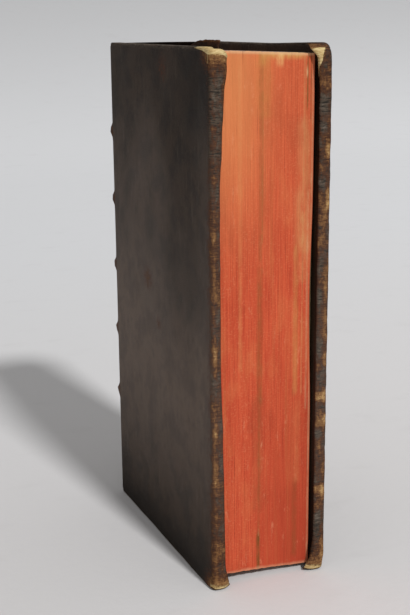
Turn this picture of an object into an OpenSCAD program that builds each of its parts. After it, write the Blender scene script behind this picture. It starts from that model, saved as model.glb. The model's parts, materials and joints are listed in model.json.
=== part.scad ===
// A small antique book in full calf, standing on its tail edge.
// Tight back on raised bands, boards laced on with the ends of the sewing cords.
// Millimetres. +Z is the head, -Y the fore edge, +Y the spine, -X the front cover.

/* [Book] */
// Height of the covers, from tail to head
book_h = 170; // [150:1:200]
// Thickness of the closed book over both covers
book_t = 40; // [34:1:50]
// Width of a cover, from its fore edge to the joint
cover_w = 87.5; // [75:0.5:100]

/* [Covers] */
// Thickness of the pasteboard
board_t = 2.4; // [2:0.1:3]
// Thickness of the leather on the outside
skin_t = 0.9; // [0.6:0.1:1.2]
// Thickness of the pared leather that is turned in over the board
turnin_t = 0.5; // [0.3:0.1:0.7]
// Width of the turn-ins
turnin_w = 13; // [9:1:18]
// Rounding of the long leather edges
arris_r = 1; // [0.6:0.1:1.3]
// Bevel along the head and tail edges of the leather
end_bevel = 0.5; // [0.2:0.1:0.8]
// Rounding of a sound corner of a cover
corner_r = 1.6; // [1:0.2:3]
// Rounding of the bumped head corner of the rear cover
bumped_r = 4; // [2:0.5:6]
// Size of the worn spot at a corner, where the leather is gone
worn_w = 3.2; // [2:0.2:5]
// Gap between a cover's back edge and the joint
joint_gap = 0.1; // [0.05:0.05:0.3]

/* [Swollen corners] */
// Rise of the split board at the front cover's head corner
front_head_rise = 2.9; // [0.5:0.1:3.5]
// Length of that swelling down the fore edge
front_head_run = 45; // [20:1:60]
// Rise at the front cover's tail corner
front_tail_rise = 2.3; // [0.5:0.1:3.5]
// Length of that swelling up the fore edge
front_tail_run = 16; // [10:1:40]
// Width of both swellings, in from the front cover's fore edge
front_lip_w = 4.4; // [3:0.1:4.6]
// Rise at the rear cover's head corner
rear_head_rise = 2.3; // [0.5:0.1:3.5]
// Length of that swelling down the fore edge
rear_head_run = 22; // [10:1:40]
// Rise at the rear cover's tail corner
rear_tail_rise = 3.4; // [0.5:0.1:4]
// Length of that swelling up the fore edge
rear_tail_run = 12; // [8:1:40]
// Width of both swellings, in from the rear cover's fore edge
rear_lip_w = 3.2; // [2.4:0.1:3.4]

/* [Text block] */
// Distance of the leaves from the covers' fore edges, at the middle
fore_inset = 3.8; // [3.6:0.1:6]
// How much further in the leaves stand at the front cover than at the middle
fore_skew = 0.6; // [0:0.1:1]
// Hollow of the fore edge
fore_hollow = 0.5; // [0.2:0.1:3]
// Margin of the covers beyond the head of the leaves
head_square = 2.7; // [2.2:0.1:5]
// Margin of the covers beyond the tail of the leaves
tail_square = 1.7; // [1.4:0.1:5]
// Tilt of the leaves' head and tail, lower at the rear cover
leaf_tilt = 1.4; // [0:0.1:1.6]
// Thickness of an endpaper leaf
paper_t = 0.2; // [0.15:0.05:0.3]
// Play between a pastedown and the leaf that it faces
leaf_play = 0.1; // [0.05:0.05:0.3]
// Leather left bare around a pastedown
paste_margin = 5; // [4.8:0.2:8]
// Width of the open split at the tail of the fore edge
split_w = 0.9; // [0.4:0.1:1.5]
// Height to which that split runs
split_h = 34; // [15:1:80]
// Depth of the splits in the fore edge
split_deep = 5; // [2:0.5:12]
// Distance of the main split from the middle, towards the front cover
split_x = 2.5; // [0:0.5:8]

/* [Spine] */
// Depth of the shoulders behind the joint
shoulder_d = 2; // [1.6:0.1:4]
// Rounding of the shoulders, over the leather
shoulder_r = 2; // [1.6:0.1:2.4]
// Rise of the spine's round over the shoulders
round_rise = 5; // [3.5:0.5:9]
// Gap between a shoulder and the board in front of it
shoulder_gap = 0.2; // [0.1:0.05:0.4]
// Thickness of the spine linings
lining_t = 0.2; // [0.15:0.05:0.4]
// Radius of the half-round cords
cord_r = 1.8; // [1.4:0.1:2.2]
// Number of raised bands
band_count = 5; // [3:1:5]
// Height of the tail panel, up to the middle of the lowest band
tail_panel = 41.6; // [34:0.2:44]
// Height of the head panel, down to the middle of the highest band
head_panel = 30.8; // [26:0.2:36]
// Hollow where the leather dips beside a band
band_fillet_r = 1.2; // [0.6:0.1:2]
// Reach of the caps over the leaves
cap_w = 2.2; // [1.6:0.1:3]
// Thickness of the leather in the caps
cap_t = 0.4; // [0.3:0.1:0.5]
// Height of the half-round head band
head_band_r = 1.2; // [0.8:0.1:1.3]
// Height of the half-round tail band
tail_band_r = 0.6; // [0.4:0.05:0.6]
// Rounding of the head and the tail of the spine
cap_round = 1.2; // [0.8:0.1:1.6]
// How far the spine stops short of the covers' head and tail
cap_short = 0.2; // [0.1:0.1:0.4]
// How far the endbands stop short of the shoulders
endband_short = 1; // [0.5:0.1:3]

/* [Laced cords] */
// Width of a cord's flattened end
slip_w = 5; // [3:0.5:7]
// Thickness of a cord's flattened end
slip_t = 0.7; // [0.4:0.1:1]
// Distance from the joint to the lacing holes
lace_y = 10; // [7:1:14]
// Diameter of the lacing holes
lace_d = 3; // [2:0.2:4]
// Length of the frayed end inside the board
fray_l = 8; // [5:0.5:12]
// Width of the frayed end
fray_w = 7; // [5:0.5:9]

/* [Hidden] */
$fn = 96;
eps = 0.01;
// Extra length of what is cut off again, or of what cuts
spare = 1;
// Margin of the linings from the leaves' ends and from the shoulders
lining_margin = 1;
band_ids = [1:band_count];
lining_ids = [1:band_count + 1];

// Seats of a swollen lip: inside the edge, under the face, and down to its root
lip_rim = 0.2;
lip_foot = 0.15;
lip_root = 1.2;
// Least width of a lip, where it rounds a corner
lip_least = 1;
// Share of a lip's run that is drawn, up to where it is under the face
lip_share = 0.9;
// Share of the rise that is left at the rim
lip_crest = 0.85;
// Place of a worn spot on the diagonal of its corner, as a share of the rounding
worn_shift = 0.25;

// Cover section, in from the outer face
cover_t = skin_t + board_t + turnin_t;
cover_back = cover_w - joint_gap;

// Leaves
pages_half_t = book_t / 2 - cover_t - 2 * paper_t - leaf_play;
leaf_z0 = tail_square;
leaf_z1 = book_h - head_square;
leaf_mid_z = (leaf_z0 + leaf_z1) / 2;
leaf_half_h = (leaf_z1 - leaf_z0) / 2;
shoulder_face = cover_w + shoulder_gap;

// Spine: the radii of the round, from the leather in to the backs of the leaves
back_y = cover_w + shoulder_d;
back_half_t = book_t / 2;
leather_r = (pow(back_half_t, 2) + pow(round_rise, 2)) / (2 * round_rise);
back_centre_y = back_y - sqrt(pow(leather_r, 2) - pow(back_half_t, 2));
lined_r = leather_r - skin_t;
pages_r = lined_r - lining_t;
inner_half_t = back_half_t - skin_t;
band_r = cord_r + skin_t;
crest_r = pages_r + band_r;
depth = back_centre_y + crest_r;
spine_z0 = cap_short;
spine_z1 = book_h - cap_short;

band_pitch = (book_h - tail_panel - head_panel) / (band_count - 1);
function band_z(i) = tail_panel + (i - 1) * band_pitch;

// Fade from 1 to 0 as u runs from 0 to 1
function fade(u) = u <= 0 ? 1 : u >= 1 ? 0 : (1 + cos(180 * u)) / 2;

// Stands the book on its tail with its footprint about the origin
module placed() translate([0, -depth / 2, 0]) children();

// Puts a cover, drawn with its outer face on x = 0, on its side of the book
module front_side() placed() translate([-book_t / 2, 0, 0]) children();
module rear_side() placed() mirror([1, 0, 0]) translate([-book_t / 2, 0, 0]) children();

// Keeps what lies between the tilted head and tail of the leaves
module trimmed()
    intersection() {
        children();
        translate([0, cover_w / 2, leaf_mid_z]) rotate([0, leaf_tilt, 0])
            cube([2 * book_t, 3 * cover_w, 2 * leaf_half_h], center = true);
    }

// Plan of the back: a round of radius r between flat sides, with rounded shoulders
module back_plan(r, half_t, edge_r) {
    edge_x = half_t - edge_r;
    edge_y = back_centre_y + sqrt(pow(r - edge_r, 2) - pow(edge_x, 2));
    spread = asin(edge_x / (r - edge_r));
    intersection() {
        translate([0, back_centre_y]) circle(r, $fn = 360);
        polygon([
            [0, back_centre_y],
            [-2 * r * sin(spread), back_centre_y + 2 * r * cos(spread)],
            [2 * r * sin(spread), back_centre_y + 2 * r * cos(spread)]
        ]);
    }
    for (side = [-1, 1]) translate([side * edge_x, edge_y]) circle(edge_r);
    translate([-half_t, cover_w]) square([2 * half_t, edge_y - cover_w]);
    translate([-edge_x, cover_w]) square([2 * edge_x, edge_y - cover_w + edge_r * cos(spread)]);
}

// Ring about the spine's centre, from a section drawn as radius by height
module back_ring() translate([0, back_centre_y, 0]) rotate_extrude($fn = 360) children();

// Leaves

module fore_edge_cutter()
    translate([0, fore_inset, 0]) rotate([0, 0, atan(-fore_skew / pages_half_t)]) {
        hollow_r = (pow(pages_half_t, 2) + pow(fore_hollow, 2)) / (2 * fore_hollow);
        translate([0, fore_hollow - hollow_r, -book_h / 2]) cylinder(r = hollow_r, h = 2 * book_h, $fn = 720);
        translate([-book_t, -book_t, -book_h / 2]) cube([2 * book_t, book_t, 2 * book_h]);
    }

// Wedge-shaped opening between two gatherings, widest at the tail
module fore_edge_split()
    translate([-split_x, fore_inset - fore_skew, 0]) rotate([-90, 0, 0])
        linear_extrude(split_deep + fore_skew)
            polygon([[-split_w / 2, 0], [split_w / 2, 0], [0, -split_h]]);

module text_block()
    color([0.78, 0.33, 0.22]) placed() difference() {
        trimmed() difference() {
            union() {
                translate([-pages_half_t, 0, -spare])
                    cube([2 * pages_half_t, shoulder_face + eps, book_h + 2 * spare]);
                translate([0, 0, -spare]) linear_extrude(book_h + 2 * spare) difference() {
                    back_plan(pages_r, inner_half_t, shoulder_r - skin_t);
                    translate([-book_t, 0]) square([2 * book_t, shoulder_face]);
                }
            }
            fore_edge_cutter();
        }
        fore_edge_split();
        for (i = band_ids) cord_grooves(i);
    }

// First leaf of the endpapers, lying on the leaves
module flyleaf()
    placed() trimmed() difference() {
        translate([-pages_half_t - paper_t, 0, -spare])
            cube([paper_t, shoulder_face, book_h + 2 * spare]);
        fore_edge_cutter();
    }

module front_flyleaf() color([0.83, 0.74, 0.58]) flyleaf();
module rear_flyleaf()
    color([0.83, 0.74, 0.58]) placed() trimmed() difference() {
        translate([pages_half_t, 0, -spare]) cube([paper_t, shoulder_face, book_h + 2 * spare]);
        fore_edge_cutter();
    }

// Spine

// Grooves over the shoulders, open to the outside, for the flattened part of a cord
module cord_grooves(i)
    for (side = [-1, 1])
        translate([side * inner_half_t, shoulder_face + shoulder_d, band_z(i)])
            cube([2 * slip_t, 2 * shoulder_d, slip_w], center = true);

module band_cord(i)
    color([0.72, 0.62, 0.44]) placed() {
        intersection() {
            back_ring() translate([pages_r, band_z(i)]) intersection() {
                circle(cord_r, $fn = 48);
                translate([0, -cord_r]) square([cord_r, 2 * cord_r]);
            }
            translate([0, 0, band_z(i) - slip_w]) linear_extrude(2 * slip_w)
                back_plan(pages_r + cord_r, inner_half_t, shoulder_r - skin_t);
        }
        intersection() {
            cord_grooves(i);
            translate([0, shoulder_face - cover_w, band_z(i) - slip_w]) linear_extrude(2 * slip_w)
                back_plan(pages_r, inner_half_t, shoulder_r - skin_t);
        }
    }

module spine_lining(i)
    color([0.80, 0.72, 0.56]) placed() {
        low = i == 1 ? leaf_z0 + lining_margin : band_z(i - 1) + cord_r;
        high = i > band_count ? leaf_z1 - lining_margin : band_z(i) - cord_r;
        intersection() {
            back_ring() translate([pages_r, low]) square([lining_t, high - low]);
            translate([0, 0, low]) linear_extrude(high - low)
                back_plan(lined_r, inner_half_t - lining_margin, shoulder_r - skin_t);
        }
    }

// Half-round sewn band on the edge of the leaves, at the head or the tail
module endband(r, end)
    color([0.63, 0.55, 0.42]) placed() intersection() {
        translate([0, 0, leaf_mid_z + end * leaf_half_h / cos(leaf_tilt)]) rotate([0, leaf_tilt, 0])
            back_ring() translate([pages_r - r, 0]) intersection() {
                circle(r, $fn = 32);
                translate([-r, end < 0 ? -r : 0]) square([2 * r, r]);
            }
        translate([-inner_half_t + endband_short, cover_w, 0])
            cube([2 * (inner_half_t - endband_short), depth, book_h]);
    }

module head_band() endband(head_band_r, 1);
module tail_band() endband(tail_band_r, -1);

// Section of the leather over one cord, with the hollows beside it
module band_section() {
    panel_h = leather_r - pages_r;
    hollow_h = panel_h + band_fillet_r;
    hollow_z = sqrt(pow(band_r + band_fillet_r, 2) - pow(hollow_h, 2));
    touch_h = hollow_h * band_r / (band_r + band_fillet_r);
    translate([pages_r, 0]) {
        intersection() {
            circle(band_r);
            translate([0, -band_r]) square([band_r, 2 * band_r]);
        }
        difference() {
            translate([0, -hollow_z]) square([touch_h, 2 * hollow_z]);
            for (side = [-1, 1]) translate([hollow_h, side * hollow_z]) circle(band_fillet_r);
        }
    }
}

module spine_leather()
    color([0.24, 0.19, 0.16]) placed() difference() {
        union() {
            intersection() {
                translate([0, 0, spine_z0]) linear_extrude(spine_z1 - spine_z0)
                    back_plan(leather_r, back_half_t, shoulder_r);
                back_ring() {
                    translate([0, spine_z0]) square([leather_r - cap_round, spine_z1 - spine_z0]);
                    translate([0, spine_z0 + cap_round])
                        square([leather_r + spare, spine_z1 - spine_z0 - 2 * cap_round]);
                    for (z = [spine_z0 + cap_round, spine_z1 - cap_round])
                        translate([leather_r - cap_round, z]) circle(cap_round);
                }
            }
            for (i = band_ids) intersection() {
                back_ring() translate([0, band_z(i)]) band_section();
                translate([0, 0, band_z(i) - 2 * band_r]) linear_extrude(4 * band_r)
                    back_plan(crest_r, back_half_t, shoulder_r);
            }
        }
        translate([0, -shoulder_gap, spine_z0 + cap_t]) linear_extrude(spine_z1 - spine_z0 - 2 * cap_t)
            union() {
                translate([0, shoulder_gap]) back_plan(lined_r, inner_half_t, shoulder_r - skin_t);
                translate([-inner_half_t, cover_w - spare]) square([2 * inner_half_t, 2 * spare]);
            }
        translate([0, back_centre_y, -spare])
            cylinder(r = pages_r - cap_w, h = book_h + 2 * spare, $fn = 360);
        translate([-book_t, 0, -spare]) cube([2 * book_t, cover_w + joint_gap, book_h + 2 * spare]);
        for (i = band_ids) intersection() {
            back_ring() translate([pages_r, band_z(i)]) circle(cord_r, $fn = 48);
            translate([0, 0, band_z(i) - 2 * cord_r]) linear_extrude(4 * cord_r)
                back_plan(pages_r + cord_r, inner_half_t, shoulder_r - skin_t);
        }
    }

// Covers: drawn with the outer face on x = 0 and the fore edge on y = 0

// Height of the swollen lip at a place along the fore edge
function lip_rise(z, head, tail) =
    head[0] * fade((book_h - z) / head[1]) + tail[0] * fade(z / tail[1]);

// Depth of a cover's rounded corner, from its fore edge, at a distance from its end
function corner_depth(d, r) = d >= r ? 0 : r - sqrt(pow(r, 2) - pow(r - max(d, 0), 2));

// Width of a swollen lip at a distance from the cover's end: wider where it rounds a corner
function lip_reach(gap, width, corner) =
    max(width, skin_t + lip_rim + corner_depth(gap - skin_t, corner - skin_t / 2) + lip_least);

// Lip at one end of the fore edge, as sections stacked from the end of the cover.
// Its rim starts a little inside the edge and its foot a little under the face.
module lip(x_in, inset, width, corner, run, head, tail) {
    steps = 8;
    cols = 6;
    z_end = run > 0 ? inset + lip_rim : book_h - inset - lip_rim;
    zs = [for (k = [0:steps]) z_end + run * lip_share * pow(k / steps, 1.4)];
    section = function (z)
        let (
            reach = lip_reach(run > 0 ? z : book_h - z, width, corner),
            rim = inset + lip_rim + corner_depth(abs(z - z_end), corner - inset / 2),
            rise = lip_rise(z, head, tail)
        )
        concat(
            [[x_in - lip_root, reach], [x_in - lip_root, rim]],
            [for (j = [0:cols])
                let (y = rim + (reach - rim) * j / cols)
                [x_in - lip_foot + rise * fade(y / reach) * (j == 0 ? lip_crest : 1), y]]
        );
    count = cols + 3;
    points = [for (z = zs) each [for (p = section(z)) [p[0], p[1], z]]];
    sides = [for (k = [0:steps - 1], j = [0:count - 1])
        let (a = k * count + j, b = k * count + (j + 1) % count)
        each run > 0 ? [[a, a + count, b], [b, a + count, b + count]]
                     : [[a, b, a + count], [b, b + count, a + count]]];
    first = [for (j = [0:count - 1]) j];
    last = [for (j = [0:count - 1]) steps * count + j];
    backwards = function (list) [for (j = [len(list) - 1:-1:0]) list[j]];
    polyhedron(points, concat(sides, run > 0 ? [first, backwards(last)] : [backwards(first), last]));
}

// Outline of a cover seen on its face, inset by the leather for the board
module cover_outline(inset, r, head_r, back)
    translate([inset, inset]) {
        w = back - inset;
        h = book_h - 2 * inset;
        translate([r, 0]) square([w - r, h / 2]);
        translate([0, r]) square([w, h - r - head_r]);
        translate([head_r, h / 2]) square([w - head_r, h / 2]);
        translate([r, r]) circle(r, $fn = 48);
        translate([head_r, h - head_r]) circle(head_r, $fn = 48);
    }

// Both lips of a cover whose inner face is at x_in
module lips(x_in, inset, lip_w, head_r, head, tail) {
    lip(x_in, inset, lip_w, head_r, -head[1], head, tail);
    lip(x_in, inset, lip_w, corner_r, tail[1], head, tail);
}

// Pasteboard, still without its lacing holes
module board_form(lip_w, head_r, head, tail, back = cover_back) {
    translate([skin_t, 0, 0]) rotate([90, 0, 90]) linear_extrude(board_t)
        cover_outline(skin_t, corner_r - skin_t / 2, head_r - skin_t / 2, back);
    lips(skin_t + board_t, skin_t, lip_w, head_r, head, tail);
}

// Leather over the board, taken as solid
module leather_form(lip_w, head_r, head, tail) {
    intersection() {
        rotate([90, 0, 90]) linear_extrude(cover_t) cover_outline(0, corner_r, head_r, cover_back);
        linear_extrude(book_h) {
            translate([0, arris_r]) square([cover_t, cover_w]);
            translate([arris_r, 0]) square([cover_t - 2 * arris_r, cover_w]);
            for (x = [arris_r, cover_t - arris_r]) translate([x, arris_r]) circle(arris_r, $fn = 48);
        }
        translate([0, 2 * cover_w, 0]) rotate([90, 0, 0]) linear_extrude(3 * cover_w) polygon([
            [end_bevel, 0], [cover_t - end_bevel, 0], [cover_t, end_bevel],
            [cover_t, book_h - end_bevel], [cover_t - end_bevel, book_h],
            [end_bevel, book_h], [0, book_h - end_bevel], [0, end_bevel]
        ]);
    }
    lips(cover_t, 0, lip_w, head_r, head, tail);
}

// Cord end laced into the board: along the outside, through the hole and frayed inside
module slip(i)
    translate([0, 0, band_z(i)]) {
        translate([skin_t, cover_w - lace_y, -slip_w / 2])
            cube([slip_t, lace_y - joint_gap, slip_w]);
        translate([skin_t, cover_w - lace_y, 0]) rotate([0, 90, 0])
            cylinder(d = lace_d, h = board_t);
        translate([skin_t, cover_w - lace_y, 0]) rotate([0, 90, 0])
            cylinder(d = slip_w, h = slip_t);
        translate([skin_t + board_t - slip_t, cover_w - lace_y, 0]) rotate([0, 90, 0])
            linear_extrude(slip_t) polygon([
                [-lace_d / 2, lace_d / 2], [lace_d / 2, lace_d / 2],
                [lace_d / 2, 0], [fray_w / 2, -fray_l], [-fray_w / 2, -fray_l], [-lace_d / 2, 0]
            ]);
    }

module board(lip_w, head_r, head, tail)
    difference() {
        board_form(lip_w, head_r, head, tail);
        for (i = band_ids) slip(i);
    }

// Part of the inside that the turn-ins leave open
module turnin_window()
    translate([skin_t + board_t, turnin_w, turnin_w])
        cube([board_t, 2 * cover_w, book_h - 2 * turnin_w]);

// Worn spots at the two fore-edge corners
module worn_spots(head_r) {
    tail_in = corner_r * worn_shift;
    head_in = head_r * worn_shift;
    for (spot = [[tail_in, tail_in], [head_in, book_h - head_in]])
        translate([cover_t / 2, spot[0], spot[1]]) rotate([45, 0, 0])
            cube([4 * cover_t, worn_w, worn_w], center = true);
}

module cover_leather(lip_w, head_r, head, tail)
    color([0.22, 0.18, 0.16]) difference() {
        leather_form(lip_w, head_r, head, tail);
        board_form(lip_w, head_r, head, tail, back = 2 * cover_w);
        turnin_window();
        worn_spots(head_r);
    }

// Sheet pasted over the board and the turn-ins, sunk where the turn-ins stop
module pastedown()
    color([0.82, 0.73, 0.57]) difference() {
        translate([skin_t + board_t, paste_margin, paste_margin])
            cube([turnin_t + paper_t, cover_back - paste_margin, book_h - 2 * paste_margin]);
        difference() {
            translate([skin_t + board_t - eps, 0, 0]) cube([turnin_t + eps, cover_w, book_h]);
            turnin_window();
        }
        translate([skin_t + board_t + paper_t, turnin_w + paper_t, turnin_w + paper_t])
            cube([board_t, cover_w, book_h - 2 * turnin_w - 2 * paper_t]);
    }

front_head = [front_head_rise, front_head_run];
front_tail = [front_tail_rise, front_tail_run];
rear_head = [rear_head_rise, rear_head_run];
rear_tail = [rear_tail_rise, rear_tail_run];

module front_board()
    color([0.66, 0.58, 0.45]) front_side() board(front_lip_w, corner_r, front_head, front_tail);
module front_cover_leather()
    front_side() cover_leather(front_lip_w, corner_r, front_head, front_tail);
module front_pastedown() front_side() pastedown();
module front_slip(i) color([0.72, 0.62, 0.44]) front_side() slip(i);

module rear_board()
    color([0.66, 0.58, 0.45]) rear_side() board(rear_lip_w, bumped_r, rear_head, rear_tail);
module rear_cover_leather()
    rear_side() cover_leather(rear_lip_w, bumped_r, rear_head, rear_tail);
module rear_pastedown() rear_side() pastedown();
module rear_slip(i) color([0.72, 0.62, 0.44]) rear_side() slip(i);

text_block();
front_flyleaf();
rear_flyleaf();
for (i = band_ids) {
    band_cord(i);
    front_slip(i);
    rear_slip(i);
}
for (i = lining_ids) spine_lining(i);
head_band();
tail_band();
spine_leather();
front_board();
front_cover_leather();
front_pastedown();
rear_board();
rear_cover_leather();
rear_pastedown();
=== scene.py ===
import json
import math

import bmesh
import bpy
from mathutils import Matrix, Vector, noise


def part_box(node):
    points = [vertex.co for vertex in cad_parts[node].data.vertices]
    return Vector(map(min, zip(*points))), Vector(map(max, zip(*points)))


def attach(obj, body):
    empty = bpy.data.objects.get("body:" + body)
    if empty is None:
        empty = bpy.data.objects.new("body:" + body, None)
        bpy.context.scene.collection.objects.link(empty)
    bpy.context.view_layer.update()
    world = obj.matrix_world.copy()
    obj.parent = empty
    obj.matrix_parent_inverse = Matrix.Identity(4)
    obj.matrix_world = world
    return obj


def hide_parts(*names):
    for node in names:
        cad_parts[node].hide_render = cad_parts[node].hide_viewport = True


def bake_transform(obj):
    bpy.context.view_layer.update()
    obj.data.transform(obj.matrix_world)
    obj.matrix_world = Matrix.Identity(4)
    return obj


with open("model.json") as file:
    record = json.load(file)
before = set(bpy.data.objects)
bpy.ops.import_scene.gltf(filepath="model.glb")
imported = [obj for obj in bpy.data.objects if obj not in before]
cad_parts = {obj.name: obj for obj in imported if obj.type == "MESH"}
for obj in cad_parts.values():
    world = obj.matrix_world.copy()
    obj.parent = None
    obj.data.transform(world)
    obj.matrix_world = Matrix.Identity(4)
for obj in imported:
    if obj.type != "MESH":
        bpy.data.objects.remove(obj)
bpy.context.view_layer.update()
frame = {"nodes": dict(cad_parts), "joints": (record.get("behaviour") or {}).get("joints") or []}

# The leaves: rag paper in sewn gatherings, ploughed smooth on three sides and round at the back.
# Age has lifted their head at the fore edge, sunk them away from the rear board and opened a
# split between two gatherings at the tail.
MM = 0.001
# A point or an edge nearer than this to a face counts as lying on it
NEAR = 0.01 * MM
FORE_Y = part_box("front_cover_leather")[0].y
LEAVES_LOW, LEAVES_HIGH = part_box("text_block")
LEAVES_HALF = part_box("rear_flyleaf")[0].x
SHOULDER_HALF, SHOULDER_Y = LEAVES_HIGH.x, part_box("rear_flyleaf")[1].y
# The round back: its centre and its radius
BACK_CENTRE_Y, LEAVES_ROUND = 3.95 * MM, 41.4 * MM
# Tilt of the head and tail, in the block and at the fore edge
LEAF_TILT, FORE_TILT = math.radians(1.4), math.radians(2.4)
# Rise of the head at the fore edge, and how far back it reaches
HEAD_RISE, RISE_REACH = 1.4 * MM, 110 * MM
# Paper lost at the head and at the tail
HEAD_LOST, TAIL_LOST = 0.15 * MM, 0.55 * MM
# How far the fore edge stands back from the covers, how skewed it is and how hollow
FORE_INSET, FORE_SKEW, FORE_HOLLOW = 3.8 * MM, 0.6 * MM, 0.5 * MM
# How far single leaves, gatherings and long waves stand out of line, and how thick a gathering is
LEAF_RELIEF, FORE_RELIEF, GATHERING_RELIEF, FORE_WAVE = 0.1 * MM, 0.13 * MM, 0.1 * MM, 0.2 * MM
GATHERING = 1.7 * MM
# The split: middle, height and depth, the groove that runs on above it, and half the width of
# its bed; the leaves beside it are pushed aside within a reach
SPLIT_X, SPLIT_HIGH, SPLIT_DEEP = -2.2 * MM, 20 * MM, 1 * MM
SPLIT_GROOVE, SPLIT_BED, SPLIT_ASIDE, SPLIT_REACH = 0.06 * MM, 0.13 * MM, 0.16 * MM, 0.6 * MM
# The sinking: least, and more at mid height, with its height and how far it runs up and back
SUNK_LEAST, SUNK_MORE = 0.35 * MM, 0.7 * MM
SUNK_HIGH, SUNK_RUN, SUNK_BACK = 90 * MM, 38 * MM, 40 * MM


def new_block(name, low, high):
    """A block between two corners."""
    bpy.ops.object.select_all(action="DESELECT")
    bpy.ops.mesh.primitive_cube_add(size=1, location=(Vector(low) + Vector(high)) / 2)
    block = bpy.context.object
    block.name = name
    block.scale = Vector(high) - Vector(low)
    bpy.ops.object.transform_apply(location=True, rotation=True, scale=True)
    return block


def edit(piece, kind="FACE", chosen=lambda part, middle: False):
    """Opens a piece for editing, with the faces or edges that are chosen selected."""
    bpy.ops.object.select_all(action="DESELECT")
    piece.select_set(True)
    bpy.context.view_layer.objects.active = piece
    bpy.ops.object.mode_set(mode="EDIT")
    bpy.ops.mesh.select_mode(type=kind)
    bpy.ops.mesh.select_all(action="DESELECT")
    mesh = bmesh.from_edit_mesh(piece.data)
    for part in mesh.faces if kind == "FACE" else mesh.edges:
        middle = sum((corner.co for corner in part.verts), Vector()) / len(part.verts)
        if chosen(part, middle):
            part.select_set(True)
    bmesh.update_edit_mesh(piece.data)


def leave_edit():
    """Back from editing a mesh to whole objects."""
    bpy.ops.object.mode_set(mode="OBJECT")


def cut_at(piece, axis, places):
    """Cuts a piece right through at places along an axis."""
    edit(piece)
    for place in places:
        bpy.ops.mesh.select_all(action="SELECT")
        level = [place if i == axis else 0 for i in range(3)]
        facing = [1 if i == axis else 0 for i in range(3)]
        bpy.ops.mesh.bisect(plane_co=level, plane_no=facing)
    leave_edit()


def cut_along(piece, axis, cuts, low=-1.0, high=1.0):
    """Cuts the edges that run along an axis between two places, and the faces between them."""
    def runs_along(edge, middle):
        run = edge.verts[1].co - edge.verts[0].co
        return abs(run[axis]) > 0.9 * run.length and low < middle[axis] < high
    edit(piece, "EDGE", runs_along)
    bpy.ops.mesh.subdivide(number_cuts=cuts)
    leave_edit()


def sculpt(piece, moved):
    """Moves every vertex of a piece by a rule."""
    for vertex in piece.data.vertices:
        vertex.co = moved(vertex.co.copy())
    piece.data.update()


def fade(share):
    """1 at 0 and below, 0 at 1 and above, smooth between."""
    return (1 + math.cos(math.pi * min(max(share, 0), 1))) / 2


def unevenness(point, per_mm):
    """Smooth noise from -1 to 1 with a count per millimetre along each axis."""
    return noise.noise(Vector([point[i] / MM * per_mm[i] for i in range(3)]))


def leaves_shape(p):
    """Ploughed fore edge, tilted head and tail, shoulders and round back of the leaves."""
    across, height = p.x / LEAVES_HALF, p.z
    near_fore = fade((p.y - FORE_Y) / RISE_REACH)
    gathering = unevenness((math.floor(p.x / GATHERING) * MM, 0, 0), (3.7, 1, 1))
    if p.z > LEAVES_HIGH.z - NEAR:
        leaf = unevenness((p.x, p.y, 5 * MM), (1.7, 0.03, 1))
        from_front = p.x + SHOULDER_HALF
        p.z -= math.tan(LEAF_TILT) * from_front + HEAD_LOST
        p.z -= LEAF_RELIEF * leaf + GATHERING_RELIEF * gathering
        p.z += near_fore * (HEAD_RISE - math.tan(FORE_TILT - LEAF_TILT) * from_front)
    elif p.z < LEAVES_LOW.z + NEAR:
        leaf = unevenness((p.x, p.y, 9 * MM), (1.7, 0.03, 1))
        from_rear = SHOULDER_HALF - p.x
        p.z += math.tan(LEAF_TILT) * from_rear + TAIL_LOST
        p.z += LEAF_RELIEF * leaf + GATHERING_RELIEF * gathering
        p.z += near_fore * math.tan(FORE_TILT - LEAF_TILT) * from_rear
    if p.y > SHOULDER_Y - NEAR:
        p.x *= SHOULDER_HALF / LEAVES_HALF
        if p.y > LEAVES_HIGH.y - 0.1 * MM:
            p.y = BACK_CENTRE_Y + math.sqrt(LEAVES_ROUND**2 - p.x**2) - 0.1 * MM
    elif p.y < FORE_Y + NEAR:
        leaf = unevenness((p.x, 0, p.z), (1.9, 1, 0.012))
        wave = unevenness((p.x, 7 * MM, p.z), (0.16, 1, 0.02))
        p.y = FORE_Y + FORE_INSET - FORE_SKEW * across + FORE_HOLLOW * (1 - across**2)
        p.y += FORE_RELIEF * leaf + GATHERING_RELIEF * gathering + FORE_WAVE * wave
        gape = fade(height / SPLIT_HIGH)
        off = p.x - SPLIT_X
        if abs(off) < SPLIT_BED:
            p.y += SPLIT_GROOVE + SPLIT_DEEP * gape
        elif abs(off) < SPLIT_REACH:
            p.x += math.copysign(SPLIT_ASIDE * gape, off)
    return p


def sunk_shape(p):
    """The leaves have sunk away from the rear board, most of all at mid height."""
    sunk = SUNK_LEAST + SUNK_MORE * fade(abs(p.z - SUNK_HIGH) / SUNK_RUN)
    p.x -= sunk * max(p.x / LEAVES_HALF, 0) ** 2 * fade((p.y - FORE_Y) / SUNK_BACK)
    return p


leaves = new_block(
    "leaves",
    (-LEAVES_HALF, FORE_Y, LEAVES_LOW.z),
    (LEAVES_HALF, BACK_CENTRE_Y + LEAVES_ROUND, LEAVES_HIGH.z),
)
cut_at(leaves, 1, [SHOULDER_Y - 2 * NEAR, SHOULDER_Y])
cut_along(leaves, 0, 123)
cut_along(leaves, 2, 55)
cut_along(leaves, 1, 9, high=SHOULDER_Y - 10 * NEAR)
sculpt(leaves, leaves_shape)
sculpt(leaves, sunk_shape)
bpy.ops.object.shade_smooth_by_angle(angle=math.radians(40))
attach(leaves, "book_block")
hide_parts("text_block")

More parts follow.
